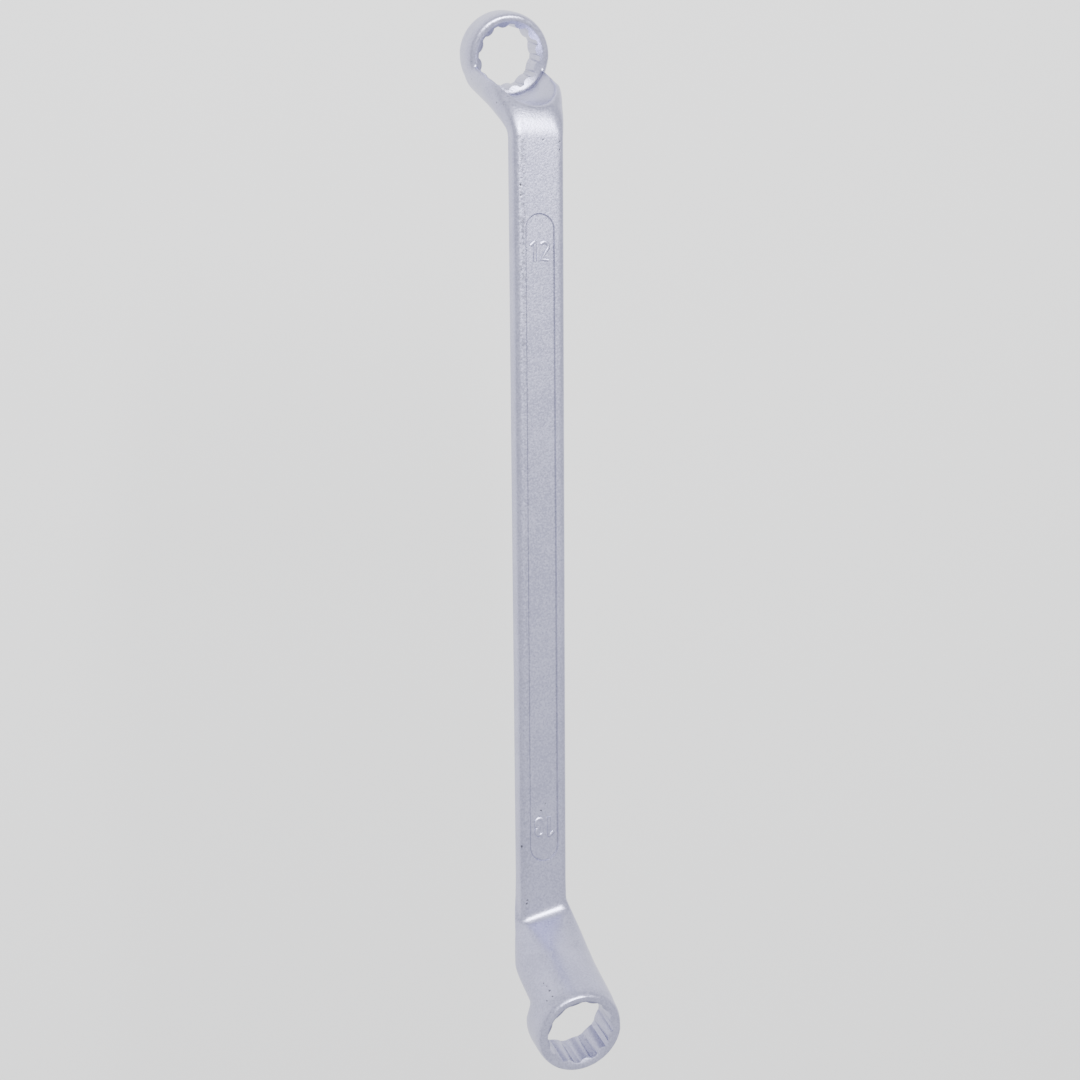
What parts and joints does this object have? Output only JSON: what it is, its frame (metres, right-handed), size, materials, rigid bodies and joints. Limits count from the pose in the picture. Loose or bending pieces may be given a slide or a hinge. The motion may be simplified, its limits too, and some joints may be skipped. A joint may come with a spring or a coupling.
{
  "type": "ring spanner",
  "caption": "Deep offset ring spanner with a closed ring on a cranked neck at each end, for turning hexagon nuts and bolts in recessed places.",
  "frame": {"origin": "centre of the spanner's bounding box, on the middle plane of its shank", "axes": "+X along the shank towards the larger ring, +Y across the shank's broad face, +Z square to that face, towards the side that the larger ring stands on"},
  "size_m": [0.23, 0.0202, 0.052],
  "materials": {
    "satin_chrome": "satin, blasted before plating"
  },
  "bodies": {
    "root": {"spanner_forging": "satin_chrome"}
  },
  "joints": []
}
